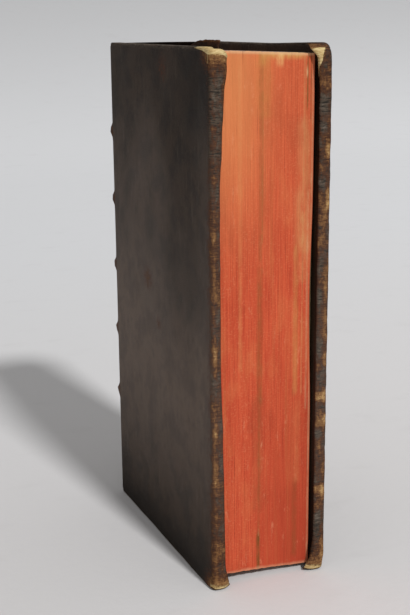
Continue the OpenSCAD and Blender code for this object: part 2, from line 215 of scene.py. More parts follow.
# The red stain on the fore edge: brushed on and matt. It is paler towards the front cover and the
# head, partly because it is thinner there and partly as painted light. It is rubbed yellow and
# stained brown in streaks along the leaves. A leaf is a tenth of a millimetre thick, so the lines
# between leaves are drawn coarser, or they wouldn't show.
STREAKS = (
    # Middle, half width, low and high end in millimetres, colour and strength
    (-0.8, 2.7, 148, 180, "#B9793F", 0.4),
    (-1.7, 0.7, 104, 180, "#8A4E28", 0.45),
    (-1.8, 1.0, 58, 106, "#8A4E28", 0.6),
    (-2.4, 1.8, 22, 64, "#8E4A2A", 0.35),
    (-2.0, 0.5, -10, 60, "#8A4E28", 0.45),
    (-1.0, 0.3, 110, 180, "#9A6034", 0.5),
    (-8.4, 0.7, 70, 180, "#C98A55", 0.3),
    (10.5, 1.0, 4, 34, "#8A4423", 0.6),
    (12.8, 2.5, 106, 150, "#C98C5A", 0.35),
    (12.0, 2.4, 97, 128, "#C98C5A", 0.3),
    (10.2, 0.9, 60, 112, "#B98048", 0.45),
    (11.0, 1.4, 30, 62, "#C57A4A", 0.25),
    (12.4, 0.3, 60, 172, "#C0905E", 0.3),
    (-1.5, 2.0, 163, 180, "#BE8246", 0.7),
    (6.5, 6.5, 165.2, 180, "#C99C58", 1),
    (4.4, 1.2, 163, 180, "#DCA76B", 0.8),
    (13.4, 0.3, 150, 172, "#6E4A22", 0.8),
    (13.2, 0.3, 160, 165, "#E0B080", 0.8),
    (14.5, 0.2, 146, 172, "#6A4A28", 0.7),
    (15.2, 0.35, -10, 180, "#C99B74", 0.4),
    (-2.2, 0.65, -10, 17, "#6A431C", 0.95),
    (14.0, 0.35, 55, 128, "#C99B74", 0.35),
)
# Heights of the head and the tail of the fore edge at its middle, in millimetres
HEAD_LINE = (LEAVES_HIGH.z + HEAD_RISE - HEAD_LOST - math.tan(FORE_TILT) * SHOULDER_HALF) / MM
TAIL_LINE = (LEAVES_LOW.z + TAIL_LOST + math.tan(FORE_TILT) * SHOULDER_HALF) / MM


def linear(colour):
    """An sRGB hex colour as linear red, green, blue and alpha."""
    parts = [int(colour[i : i + 2], 16) / 255 for i in (1, 3, 5)]
    return [c / 12.92 if c <= 0.04045 else ((c + 0.055) / 1.055) ** 2.4 for c in parts] + [1]


def add_node(tree, kind, inputs, output=0, **settings):
    """Adds a shader node with its settings, values and links, and returns one of its outputs."""
    node = tree.nodes.new("ShaderNode" + kind)
    for name, value in settings.items():
        setattr(node, name, value)
    for socket, value in inputs.items():
        if isinstance(value, bpy.types.NodeSocket):
            tree.links.new(value, node.inputs[socket])
        else:
            node.inputs[socket].default_value = linear(value) if isinstance(value, str) else value
    return node.outputs[output]


def new_finish(name, roughness, specular):
    """A material with its shader, and the object's coordinates in millimetres."""
    material = bpy.data.materials.new(name)
    material.use_nodes = True
    tree = material.node_tree
    shader = tree.nodes["Principled BSDF"]
    shader.inputs["Roughness"].default_value = roughness
    shader.inputs["Specular IOR Level"].default_value = specular
    place = add_node(tree, "TexCoord", {}, "Object")
    place = add_node(tree, "Mapping", {"Vector": place, "Scale": (1000, 1000, 1000)})
    return material, tree, shader, place


def grain(tree, place, per_mm, detail=2.0, rough=0.5, distortion=0.0):
    """An uneven pattern with its own count per millimetre along each axis."""
    place = add_node(tree, "Mapping", {"Vector": place, "Scale": per_mm})
    inputs = {"Vector": place, "Scale": 1, "Detail": detail, "Roughness": rough}
    return add_node(tree, "TexNoise", inputs | {"Distortion": distortion}, "Fac")


def where(tree, *shares):
    """The product of shares. A share in brackets is a value with its low and its high end, between
    which the share goes smoothly from 0 to 1, or between the two numbers that follow."""
    product = None
    for share in shares:
        if isinstance(share, tuple):
            inputs = dict(zip(("Value", "From Min", "From Max", "To Min", "To Max"), share))
            share = add_node(tree, "MapRange", inputs, interpolation_type="SMOOTHSTEP")
        if product is not None:
            share = add_node(tree, "Math", {0: product, 1: share}, operation="MULTIPLY")
        product = share
    return product


def laid(tree, below, above, *shares):
    """One colour laid over another, as thickly as the product of the shares."""
    return add_node(tree, "Mix", {0: where(tree, *shares), 6: below, 7: above}, 2, data_type="RGBA")


def summed(tree, total, *parts):
    """A total with further values added to it, each times its factor."""
    for value, factor in parts:
        total = add_node(tree, "Math", {0: value, 1: factor, 2: total}, operation="MULTIPLY_ADD")
    return total


def dress(tree, shader, colour, height, depth):
    """Gives a finish its colour, and its relief with a depth in metres."""
    tree.links.new(colour, shader.inputs["Base Color"])
    relief = add_node(tree, "Bump", {"Height": height, "Strength": 1, "Distance": depth})
    tree.links.new(relief, shader.inputs["Normal"])


stained, tree, shader, place = new_finish("red_stained_rag_paper", 0.9, 0.2)
axes = add_node(tree, "SeparateXYZ", {"Vector": place}).node.outputs
leaf_lines = grain(tree, place, (2.6, 0.05, 0.05), detail=4, rough=0.65)
wide_lines = grain(tree, place, (0.3, 0.05, 0.008), detail=3)
rubbing = grain(tree, place, (0.5, 0.5, 0.16), detail=6, rough=0.7)
clouds = grain(tree, place, (0.13, 0.1, 0.05), detail=5, rough=0.6)
hatching = grain(tree, place, (1.2, 0.5, 2.6), detail=3, rough=0.6)
# The stain itself, cloudy and hatched by the plough
colour = laid(tree, "#AE3F27", "#C95636", (leaf_lines, 0.3, 0.7))
colour = laid(tree, colour, "#C8683F", (clouds, 0.5, 0.68, 0, 0.45))
colour = laid(tree, colour, "#A03C24", (clouds, 0.48, 0.32, 0, 0.45))
colour = laid(tree, colour, "#D88A60", (hatching, 0.5, 0.75, 0, 0.3))
# Paler orange near the front cover's head and deeper red near the rear cover's tail: partly the stain
# itself, partly painted light that is brighter at the top and darker lower down
colour = laid(tree, colour, "#DA8752", (axes["X"], 8, -14, 0.2, 1), (axes["Z"], 90, 165, 0, 0.85))
colour = laid(tree, colour, "#A53B24", (axes["X"], -12, 12, 0, 0.85), (axes["Z"], 90, 0))
colour = laid(tree, colour, "#A96A3C", (wide_lines, 0.52, 0.75, 0, 0.4))
for middle, half_width, low, high, tint, strength in STREAKS:
    off = add_node(tree, "Math", {0: axes["X"], 1: middle}, operation="SUBTRACT")
    off = add_node(tree, "Math", {0: off}, operation="ABSOLUTE")
    across = (off, half_width * 1.5, half_width * 0.3, 0, strength)
    from_low, to_high = (axes["Z"], low, low + 2.5), (axes["Z"], high, high - 4)
    colour = laid(tree, colour, tint, across, from_low, to_high, (rubbing, 0.3, 0.6, 0.25, 1))
# Worn pale along the head and the tail
level = summed(tree, axes["Z"], (axes["X"], math.tan(FORE_TILT)))
colour = laid(tree, colour, "#DBB288", (level, HEAD_LINE - 1.1, HEAD_LINE - 0.2, 0, 0.6))
level = summed(tree, level, (wide_lines, 1.5))
colour = laid(tree, colour, "#C9906E", (level, TAIL_LINE + 2, TAIL_LINE + 0.7, 0, 0.6))
# Rubbed flecks, and the dark lines between leaves
colour = laid(tree, colour, "#E2A47C", (rubbing, 0.58, 0.75, 0, 0.32))
colour = laid(tree, colour, "#7E3420", (leaf_lines, 0.36, 0.26, 0, 0.6))
dress(tree, shader, colour, leaf_lines, 0.25 * MM)
leaves.data.materials.append(stained)

# The head and the tail of the leaves: the same red stain, matt and grey with dust and soot
# that have settled between the leaves.
dusty, tree, shader, place = new_finish("dusty_stained_rag_paper", 0.95, 0.15)
leaf_lines = grain(tree, place, (2.2, 0.04, 0.5), detail=4, rough=0.65)
dust = grain(tree, place, (0.12, 0.06, 0.1), detail=5, rough=0.6)
colour = laid(tree, "#8C6A5C", "#B7907C", (leaf_lines, 0.3, 0.7))
colour = laid(tree, colour, "#A08A7C", (dust, 0.35, 0.7))
dress(tree, shader, colour, leaf_lines, 0.2 * MM)
leaves.data.materials.append(dusty)
edit(leaves, "FACE", lambda face, middle: abs(face.normal.z) > 0.7)
bpy.context.object.active_material_index = 1
bpy.ops.object.material_slot_assign()
leave_edit()

# The endpapers: laid rag paper, one leaf pasted down on each board and one free, soft and matt,
# foxed, and browned round the margins by the acid of the leather. The rear free leaf has sunk
# with the leaves.
BOOK_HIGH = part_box("front_cover_leather")[1].z
endpaper, tree, shader, place = new_finish("laid_endpaper", 0.85, 0.25)
axes = add_node(tree, "SeparateXYZ", {"Vector": place}).node.outputs
foxing = grain(tree, place, (0.16, 0.16, 0.16), detail=3)
browning = grain(tree, place, (0.08, 0.08, 0.08), detail=4)
fibres = grain(tree, place, (0.5, 0.8, 2.5), detail=4)
colour = laid(tree, "#C9B791", "#D6C7A4", (fibres, 0.35, 0.65))
colour = laid(tree, colour, "#A37A48", (foxing, 0.6, 0.85, 0, 0.7))
off_middle = add_node(tree, "Math", {0: axes["Z"], 1: BOOK_HIGH / MM / 2}, operation="SUBTRACT")
off_middle = add_node(tree, "Math", {0: off_middle}, operation="ABSOLUTE")
margins = {0: where(tree, (off_middle, 66, 82)), 1: where(tree, (axes["Y"], -28, -45))}
margin = add_node(tree, "Math", margins, operation="MAXIMUM")
colour = laid(tree, colour, "#A98B5C", margin, (browning, 0.25, 0.7, 0.3, 1), 0.75)
# The stain has crept in along the fore edge, which is skewed
from_fore_edge = summed(tree, axes["Y"], (axes["X"], FORE_SKEW / LEAVES_HALF))
colour = laid(tree, colour, "#A9563A", (from_fore_edge, -43.7, -44))
dress(tree, shader, colour, fibres, 0.06 * MM)
rear_leaf = new_block(
    "rear_free_leaf",
    (LEAVES_HALF, FORE_Y, LEAVES_LOW.z),
    (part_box("rear_flyleaf")[1].x, SHOULDER_Y - 2 * NEAR, LEAVES_HIGH.z),
)
cut_along(rear_leaf, 1, 9)
cut_along(rear_leaf, 2, 55)
sculpt(rear_leaf, leaves_shape)
sculpt(rear_leaf, sunk_shape)
rear_leaf.data.materials.append(endpaper)
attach(rear_leaf, "book_block")
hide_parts("rear_flyleaf")
for name in ("front_flyleaf", "front_pastedown", "rear_pastedown"):
    sheet = frame["nodes"][name]
    sheet.data.materials.clear()
    sheet.data.materials.append(endpaper)
# The leaves' sides and back are unstained paper too
leaves.data.materials.append(endpaper)
edit(leaves, "FACE", lambda face, middle: abs(face.normal.z) < 0.7 and middle.y > FORE_Y + 2 * FORE_INSET)
bpy.context.object.active_material_index = 2
bpy.ops.object.material_slot_assign()
leave_edit()

# The sewing and the boards: twisted hemp cords across the back with their frayed ends laced
# into rough pasteboards, linen thread sewn over cores at head and tail, and paper pasted between
# the cords. All of it is dry and matt, and only the sewn ends show, from above and below.
hemp, tree, shader, place = new_finish("hemp_cord", 0.9, 0.2)
twist = grain(tree, place, (3, 3, 5), detail=3)
dress(tree, shader, laid(tree, "#8F7A50", "#C2AC7E", twist), twist, 0.3 * MM)
thread, tree, shader, place = new_finish("linen_thread", 0.8, 0.3)
turns = grain(tree, place, (1.6, 0.4, 0.4))
dress(tree, shader, laid(tree, "#7A5A3C", "#C8B48C", turns), turns, 0.4 * MM)
pasteboard, tree, shader, place = new_finish("pasteboard", 0.95, 0.15)
layers = grain(tree, place, (3, 0.4, 0.4), detail=4)
dress(tree, shader, laid(tree, "#9C8460", "#CDB88E", layers), layers, 0.3 * MM)
DRESSED = (
    # How the nodes' names start, their finish and their slot
    ("band_cord", hemp, "hemp_cord"),
    ("front_slip", hemp, "hemp_cord"),
    ("rear_slip", hemp, "hemp_cord"),
    ("spine_lining", endpaper, "lining_paper"),
    ("head_band", thread, "endband_thread"),
    ("tail_band", thread, "endband_thread"),
    ("front_board", pasteboard, "pasteboard"),
    ("rear_board", pasteboard, "pasteboard"),
)
for start, finish, slot in DRESSED:
    for name, piece in frame["nodes"].items():
        if name.startswith(start):
            piece.data.materials.clear()
            piece.data.materials.append(finish)

# The calf: dark brown, mottled and dry, with a dull sheen from handling and a broad sheen painted
# lighter grey on its lower half. Along the edges it is scuffed to brown fibres and ochre, and where
# it is gone the pale pasteboard shows. The leather pieces give each vertex its share of edge, wear,
# bareness and painted shade, on the inside and under the tail.
calf, tree, shader, place = new_finish("worn_dark_calf", 0.6, 0.3)
edge, wear, bare, painted_shade = (
    add_node(tree, "Attribute", {}, "Fac", attribute_name=name)
    for name in ("edge", "wear", "bare", "painted_shade"))
axes = add_node(tree, "SeparateXYZ", {"Vector": place}).node.outputs
mottle = grain(tree, place, (0.1, 0.1, 0.1), detail=6, rough=0.65)
patches = grain(tree, place, (0.03, 0.03, 0.02), detail=3)
# Real pores are a tenth of a millimetre wide: they are drawn coarser, or they wouldn't show
pores = grain(tree, place, (2.4, 2.4, 3.6), detail=3, rough=0.6)
scuffs = grain(tree, place, (0.45, 0.45, 3.0), detail=5, rough=0.7, distortion=0.4)
flecks = grain(tree, place, (1.1, 1.1, 0.6), detail=6, rough=0.75)
scratches = grain(tree, place, (0.3, 0.5, 0.06), detail=5, rough=0.7, distortion=0.3)
# Painted sheen: the lower half is painted a lighter grey, as a broad reflection, and more of it towards
# the spine
off_spine, at_fore_edge = where(tree, (axes["Y"], 0, -20)), where(tree, (axes["Y"], -30, -44))
polish_and_painted_sheen = summed(tree, axes["Z"], (patches, 90), (off_spine, 27), (at_fore_edge, -19))
polish_and_painted_sheen = where(tree, (polish_and_painted_sheen, 216, 114), (axes["Z"], 2, 62))
colour = laid(tree, "#20170F", "#36281C", (mottle, 0.35, 0.65))
painted_sheen_grey = laid(tree, "#534134", "#6A5646", (mottle, 0.36, 0.64))
colour = laid(tree, colour, painted_sheen_grey, polish_and_painted_sheen, 0.75)
# Pores, scratches and mottling of the face
colour = laid(tree, colour, "#75665A", (pores, 0.5, 0.8, 0, 0.4))
colour = laid(tree, colour, "#75665A", (scratches, 0.56, 0.72, 0, 0.25))
colour = laid(tree, colour, "#241B15", (scratches, 0.44, 0.3, 0, 0.22))
colour = laid(tree, colour, "#2A201A", (mottle, 0.5, 0.75, 0, 0.5))
colour = laid(tree, colour, "#3B332C", (patches, 0.5, 0.66, 0, 0.3))
colour = laid(tree, colour, "#5A4032", (flecks, 0.66, 0.8, 0, 0.5))
# Darker at the tail, and painted shade at the head near the fore edge
colour = laid(tree, colour, "#15100C", (axes["Z"], 18, 0, 0, 0.8))
colour = laid(tree, colour, "#15100C", (axes["Y"], -16, -40), (axes["Z"], 132, 154, 0, 0.6))
# Fine ridges across the board edges
ridges = laid(tree, "#262320", "#584E43", (scuffs, 0.38, 0.58))
ridges = laid(tree, ridges, "#85807A", (scuffs, 0.56, 0.72, 0, 0.8))
colour = laid(tree, colour, ridges, edge, 0.9)
# Rubbed, from red-brown over brown to ochre
rub = summed(tree, -1.3, (wear, 1), (flecks, 1.5), (scuffs, 1.1))
colour = laid(tree, colour, "#482A1B", (rub, 0.15, 0.55, 0, 0.85))
colour = laid(tree, colour, "#7A5736", (rub, 0.5, 0.85, 0, 0.85))
colour = laid(tree, colour, "#AC8A5C", (rub, 0.85, 1.2, 0, 0.9))
# Torn off the board at the corners, and painted dark as shade on the inside and under the tail
torn = summed(tree, -0.3, (bare, 1), (flecks, 0.6))
torn = where(tree, (torn, 0.44, 0.6))
board = laid(tree, "#A88A5A", "#D3BF8E", (scuffs, 0.35, 0.65))
colour = laid(tree, colour, board, torn)
colour = laid(tree, colour, "#150E0A", painted_shade, 0.65)
height = summed(tree, 0, (pores, 0.4), (scuffs, 0.5), (torn, -0.7))
dress(tree, shader, colour, height, 0.25 * MM)
# Dull where it is rubbed, with a little more sheen where hands have polished it
roughened = {0: where(tree, edge, 0.15), 1: where(tree, (rub, 0.3, 0.9, 0, 0.3))}
roughened = add_node(tree, "Math", roughened, operation="MAXIMUM")
tree.links.new(summed(tree, 0.55, (roughened, 1)), shader.inputs["Roughness"])
sheen = summed(tree, 0.06, (polish_and_painted_sheen, 0.18), (painted_shade, -0.1))
tree.links.new(sheen, shader.inputs["Specular IOR Level"])

# The covers: one skin of calf drawn wet over each board, turned in 13 mm round its edges and
# pasted down. The corners are bumped, and the boards have split and swollen inwards there.
JOINT_Y = frame["joints"][0]["pos_m"][1]
BOOK_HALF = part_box("rear_cover_leather")[1].x
PAPER_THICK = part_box("rear_flyleaf")[1].x - LEAVES_HALF
COVER_THICK = BOOK_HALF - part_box("rear_pastedown")[0].x - PAPER_THICK
COVER_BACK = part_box("front_board")[1].y
SEAM_Y = JOINT_Y + 0.5 * MM
SKIN_THICK, TURN_IN, TURN_IN_THICK = 0.9 * MM, 13 * MM, 0.55 * MM
END_BEVEL, TAIL_ROUND = 0.6 * MM, 1.6 * MM
# Parts of the strip that crosses the joint
STRIP_PARTS = 5
# A place less deep than this lies on the outside, which is dented, but not near the joint
OUTSIDE, CALM_LENGTH = 0.5 * MM, 12 * MM
# How far the ragged fore edge reaches back, and the uneven ends reach in
RAGGED_BACK, UNEVEN_IN = 2.5 * MM, 2 * MM
# A bumped tip: its reach along the edges, how far it is pushed in, and how deep the push goes
TIP_REACH, TIP_PUSH, TIP_DEEP = 7 * MM, 0.8 * MM, 4 * MM
# The torn head corner of the front board: its slope down inwards, and its reach down and back
TORN_SLOPE, TORN_DOWN, TORN_BACK = 2.4 * MM, 6 * MM, 7 * MM
# The rear cover's head corner stands higher by this much, over these lengths down and back
REAR_RISE, REAR_RISE_DOWN, REAR_RISE_BACK = 0.75 * MM, 60 * MM, 45 * MM
# How far the fine ridges reach back from the fore edge, and in from the ends
RIDGES_BACK, RIDGES_IN = 2 * MM, 1.3 * MM
# Where an arris is rubbed: how deep and how far back its middle lies, and its reach
OUTER_ARRIS = (1.1 * MM, 0.3 * MM, 2.1 * MM)
INNER_ARRIS = (0.5 * MM, 0.5 * MM, 1.3 * MM)
END_ARRIS = (0.3 * MM, 0, 1 * MM)
# How far from a corner the calf is rubbed, and gone at the tail and at the head
CORNER_REACH, TAIL_BARE, HEAD_BARE = 12 * MM, 6 * MM, 3.4 * MM
# How far back from the fore edge the leather is rubbed along it, and on the front cover's face
ALONG_BACK, FACE_BACK = 2.2 * MM, 7 * MM
# Near the head of the front cover that wear lessens, and the inner arris is rubbed more
LESS_NEAR_HEAD, MORE_NEAR_HEAD = 60 * MM, 26 * MM
COVERS = {
    # Side, arris, rounding at the head and width of the swelling
    "front_cover": (-1, 1.4 * MM, 1.6 * MM, 4.4 * MM),
    "rear_cover": (1, 0.7 * MM, 4 * MM, 3.2 * MM),
}
SWELLING = {
    # Heights along the fore edge and how far the board has swollen there, in millimetres
    "front_cover": (
        (0, 2.9), (9, 1.15), (30, 0.8), (50, 0.4), (75, -0.3),
        (128, -0.35), (143, 0.5), (156, 1.3), (164.5, 2.4), (170, 2.7),
    ),
    "rear_cover": ((0, 3.2), (8.5, 0.2), (158, 0.25), (164, 0.6), (170, 3)),
}
RUBBED = {
    # Rubbed stretches of the fore edge: height and half length in millimetres, and strength
    "front_cover": (
        (146, 3, 0.35), (115, 6, 0.5), (99, 7, 0.6), (78, 5, 0.75),
        (48, 13, 0.5), (28, 6, 0.3), (10, 7, 0.3),
    ),
    "rear_cover": (
        (138, 3, 0.5), (123, 3, 0.6), (99, 4, 0.4), (85, 4, 0.5), (73, 2, 0.4),
        (60.7, 2, 1), (52, 2, 0.9), (35, 3, 0.5), (29, 2, 0.9), (6, 8, 0.5),
    ),
}
SCUFFS = {
    # Scuffs on the face: place across and up and reach in millimetres, and strength
    "front_cover": ((7, 92, 8, 0.6), (-3, 78, 4.5, 0.6), (-10, 163, 8, 0.45)),
    "rear_cover": (),
}


def part_of(value, low, high):
    """How far a value has come from low to high, held between 0 and 1."""
    return min(max((value - low) / (high - low), 0), 1)


def near_arris(depth, back, arris):
    """1 at the middle of a rubbed arris, 0 beyond its reach."""
    deep, far, reach = arris
    return fade(math.hypot(depth - deep, back - far) / reach)


def paint(piece, name, rule):
    """Gives every vertex a value by a rule, under a name that the materials read."""
    layer = piece.data.attributes.new(name, "FLOAT", "POINT")
    layer.data.foreach_set("value", [rule(vertex.co) for vertex in piece.data.vertices])


def new_cover(body, side, arris_wide, head_round, lip_wide):
    """The leather of one cover, with the strip that crosses the joint to the spine."""
    front = side < 0

    def depth_of(p):
        """How deep a place lies under the outside of the cover."""
        return BOOK_HALF - abs(p.x)

    def inner_part(p, start):
        """0 on the outside, from a share of the cover's thickness up to 1 on the inside."""
        return part_of(depth_of(p) / COVER_THICK, start, 1)

    def swelling(height):
        """How far the board has swollen at a height, in millimetres."""
        for (low, low_rise), (high, high_rise) in zip(SWELLING[body], SWELLING[body][1:]):
            if height <= high:
                share = fade((height - low) / (high - low))
                return low_rise * share + high_rise * (1 - share)
        return SWELLING[body][-1][1]

    def corner_depth(gap, radius):
        """Depth of a rounded corner from the fore edge, at a gap from the cover's end."""
        gap = min(max(gap, 0), radius)
        return radius - math.sqrt(radius**2 - (radius - gap) ** 2)

    def shape(p):
        """Rounded and bumped corners, swollen board, small dents and ragged edges."""
        depth, y, z = depth_of(p), p.y - FORE_Y, p.z
        near_head = z > BOOK_HIGH / 2
        inwards = -1 if near_head else 1
        radius = head_round if near_head else TAIL_ROUND
        gap = BOOK_HIGH - z if near_head else z
        a, b = radius - y, radius - gap
        if a > 0 and b > 0:
            shrink = max(a, b) / math.hypot(a, b)
            y, gap = radius - a * shrink, radius - b * shrink
            z = BOOK_HIGH - gap if near_head else gap
        rise = swelling(p.z / MM) * MM * fade((y - corner_depth(gap, radius)) / lip_wide)
        depth += rise * inner_part(p, 0.4)
        still = 1 - fade((JOINT_Y - p.y) / CALM_LENGTH)
        dent = 0.1 * unevenness(p, (0.12, 0.12, 0.12)) + 0.06 * unevenness(p, (0.5, 0.5, 0.5))
        if depth < OUTSIDE:
            depth += (dent + 0.05) * still * MM
        ragged = 0.3 * unevenness(p, (0.25, 0.25, 0.25)) + 0.16 * unevenness(p, (0.8, 0.8, 0.8))
        y += ragged * fade(y / RAGGED_BACK) * MM
        tip = fade(math.hypot(y, gap) / TIP_REACH) * abs(2 * depth_of(p) / COVER_THICK - 1) ** 2.5
        y += TIP_PUSH * tip * fade(y / TIP_DEEP)
        z += inwards * TIP_PUSH * tip * fade(gap / TIP_DEEP)
        if front and near_head:
            z -= TORN_SLOPE * inner_part(p, 0.35) ** 5 * fade(gap / TORN_DOWN) * fade(y / TORN_BACK)
        if not front:
            down, back = (BOOK_HIGH - p.z) / REAR_RISE_DOWN, (p.y - FORE_Y) / REAR_RISE_BACK
            z += REAR_RISE * fade(down) * fade(back)
        z += inwards * fade(gap / UNEVEN_IN) * still * (0.06 + 0.6 * dent) * MM
        return Vector((side * (BOOK_HALF - depth), FORE_Y + y, max(z, 0)))

    def edge_of(p):
        """1 along the board edges, where the leather has fine ridges."""
        end = min(p.z, BOOK_HIGH - p.z)
        return max(fade((p.y - FORE_Y) / RIDGES_BACK), fade(end / RIDGES_IN))

    def wear_of(p):
        """How far the leather is rubbed along its arrises, at the corners and in scuffs."""
        depth, y, end = depth_of(p), p.y - FORE_Y, min(p.z, BOOK_HIGH - p.z)
        near_head = p.z > BOOK_HIGH / 2
        to_head = BOOK_HIGH - p.z
        rubbed = max(strength * fade(abs(p.z / MM - height) / (2 * half))
                     for height, half, strength in RUBBED[body])
        patchy = 0.4 + 0.35 * unevenness(p, (0.1, 0.1, 0.14)) + 0.3 * unevenness(p, (0.3, 0.3, 0.45))
        arris = near_arris(depth, y, OUTER_ARRIS)
        inner = near_arris(COVER_THICK - depth, y, INNER_ARRIS)
        end_arris = near_arris(depth, end, END_ARRIS)
        corner = 0.95 * fade(math.hypot(y, end) / CORNER_REACH)
        scuff = max((strength * fade(math.hypot(p.y / MM - across, p.z / MM - up) / reach)
                     for across, up, reach, strength in SCUFFS[body]), default=0)
        if front:
            patchy += 0.7 * rubbed - 0.2 * fade(to_head / LESS_NEAR_HEAD)
            inner *= 0.3 + 0.5 * fade(to_head / MORE_NEAR_HEAD)
            end_arris *= 0.9 if near_head else 0.5
            along = 0.35 * rubbed
            on_face = 0.6 * fade(y / FACE_BACK) * (0.75 + 0.5 * unevenness(p, (0.2, 0.2, 0.2)))
            on_face *= 1 - 0.6 * fade(to_head / LESS_NEAR_HEAD)
        else:
            patchy += rubbed
            inner *= 0.2
            end_arris *= 0.5
            corner *= 0.3 + 0.7 * depth / COVER_THICK if near_head else 1
            along = max(rubbed, 0.35 + 0.75 * unevenness(p, (0.35, 0.2, 0.2)))
            on_face = 0
        along = max(along, 0) * fade(y / ALONG_BACK)
        return max(arris * patchy, along, end_arris * patchy, corner, inner, scuff, on_face)

    def bare_of(p):
        """1 where the leather is gone from the board: at the tips and in a wedge at the rear head."""
        depth, y, gap = depth_of(p), p.y - FORE_Y, BOOK_HIGH - p.z
        if p.z < BOOK_HIGH / 2:
            tail_part = 0.5 + 0.5 * depth / COVER_THICK
            tail_part = 1 - 0.4 * tail_part if front else tail_part
            # Bareness fades out over the lowest 0.6 mm, which keeps the dark leather and its painted shade
            return fade(math.hypot(y, p.z * 1.1) / TAIL_BARE) * tail_part * (1 - fade(p.z / (0.6 * MM)))
        if front:
            narrowing = 1 + max(y, 0) / (4 * MM)
            back = max(y - 2 * MM, 0) * 0.2
            return 1.1 * fade(math.hypot(back, (gap - 0.3 * MM) * narrowing) / HEAD_BARE)
        wedge = part_of(depth - 0.34 * gap, 0.8 * MM, 1.8 * MM)
        below_arris = 1 - fade((gap - 0.1 * MM) / (1.1 * MM))
        return wedge * below_arris * fade((gap - 5.5 * MM) / (5 * MM)) * fade(y / (3 * MM))

    def painted_shade_of(p):
        """Painted shade: 1 on the inside and under the tail, where shade falls."""
        if p.z < 0.3 * MM:
            return 1
        if BOOK_HIGH - p.z < 6 * MM:
            return 0.12 * inner_part(p, 0.5)
        if p.y <= FORE_Y + 0.6 * MM:
            return 0
        return 1 - fade((depth_of(p) / COVER_THICK - 0.6) / 0.35)

    outer_x, inner_x = side * BOOK_HALF, side * (BOOK_HALF - COVER_THICK)
    skin = new_block(
        body + "_calf",
        (min(outer_x, inner_x), FORE_Y, 0),
        (max(outer_x, inner_x), COVER_BACK, BOOK_HIGH),
    )
    # The long arrises at the fore edge, then those along the head and the tail
    edit(skin, "EDGE", lambda part, middle: (
        middle.y < FORE_Y + 1 * MM and abs(middle.z / BOOK_HIGH - 0.5) < 0.4))
    bpy.ops.mesh.bevel(offset=arris_wide, segments=4)
    leave_edit()
    edit(skin, "EDGE", lambda part, middle: (
        min(middle.z, BOOK_HIGH - middle.z) < NEAR
        and min(depth_of(middle), COVER_THICK - depth_of(middle)) < NEAR
        and abs(part.verts[0].co.x - part.verts[1].co.x) < NEAR))
    bpy.ops.mesh.bevel(offset=END_BEVEL, segments=3)
    leave_edit()
    # Cuts along the leather's thickness and the turn-ins, finer at the fore edge and the corners
    cut_at(skin, 0, [side * (BOOK_HALF - SKIN_THICK)])
    cut_at(skin, 1, [FORE_Y + TURN_IN])
    cut_at(skin, 2, [TURN_IN, BOOK_HIGH - TURN_IN])
    cut_along(skin, 0, 3)
    cut_along(skin, 1, 15, high=FORE_Y + TURN_IN)
    cut_along(skin, 1, 24, low=FORE_Y + TURN_IN)
    cut_along(skin, 2, 15, high=TURN_IN)
    cut_along(skin, 2, 119, low=TURN_IN, high=BOOK_HIGH - TURN_IN)
    cut_along(skin, 2, 15, low=BOOK_HIGH - TURN_IN)
    # The step where the turn-ins stop, under the pastedown
    edit(skin, "FACE", lambda face, middle: (
        depth_of(middle) > COVER_THICK - NEAR and middle.y > FORE_Y + TURN_IN
        and TURN_IN < middle.z < BOOK_HIGH - TURN_IN))
    bpy.ops.mesh.extrude_region_move(
        TRANSFORM_OT_translate={"value": (side * TURN_IN_THICK, 0, 0)})
    leave_edit()
    # The strip across the joint
    edit(skin, "FACE", lambda face, middle: (
        middle.y > COVER_BACK - NEAR and depth_of(middle) < SKIN_THICK))
    for _ in range(STRIP_PARTS):
        bpy.ops.mesh.extrude_region_move(
            TRANSFORM_OT_translate={"value": (0, (SEAM_Y - COVER_BACK) / STRIP_PARTS, 0)})
    leave_edit()
    paint(skin, "edge", edge_of)
    paint(skin, "wear", wear_of)
    paint(skin, "bare", bare_of)
    paint(skin, "painted_shade", painted_shade_of)
    sculpt(skin, shape)
    bpy.ops.object.shade_smooth()
    skin.data.materials.append(calf)
    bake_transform(skin)
    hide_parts(body + "_leather")


for body, details in COVERS.items():
    new_cover(body, *details)

# The torn strip: at the head of the front cover the pared, turned-in calf has come off the
# corner of the board. It stands up behind the corner and curls inwards.
LIFTED_FROM, LIFTED_LONG, LIFTED_HIGH = FORE_Y + 1.8 * MM, 24 * MM, 3.2 * MM
LIFTED_THICK, LIFTED_ROOT = 0.5 * MM, BOOK_HIGH - 1.3 * MM
# How far its top leans in, draws back to the board along its length, waves and slides back
LIFTED_CURL, LIFTED_DRAWN, LIFTED_WAVE, LIFTED_SLIDE = 0.7 * MM, 0.6 * MM, 0.15 * MM, 0.5 * MM


def lifted_shape(p):
    """Torn strip: highest near its torn end, curled inwards, running out along the edge."""
    along = max(p.y - LIFTED_FROM, 0) / LIFTED_LONG
    up = p.z / LIFTED_HIGH
    torn_edge = 0.25 * unevenness(p, (1, 0.5, 0)) * MM
    high = LIFTED_HIGH * (1 - along**4) + torn_edge
    x = -BOOK_HALF + COVER_THICK - LIFTED_THICK + LIFTED_CURL * up**2 - LIFTED_DRAWN * along * up
    x += LIFTED_WAVE * math.sin(along * 9) * up
    return Vector((x, p.y + LIFTED_SLIDE * up * (1 - along), LIFTED_ROOT + up * high))


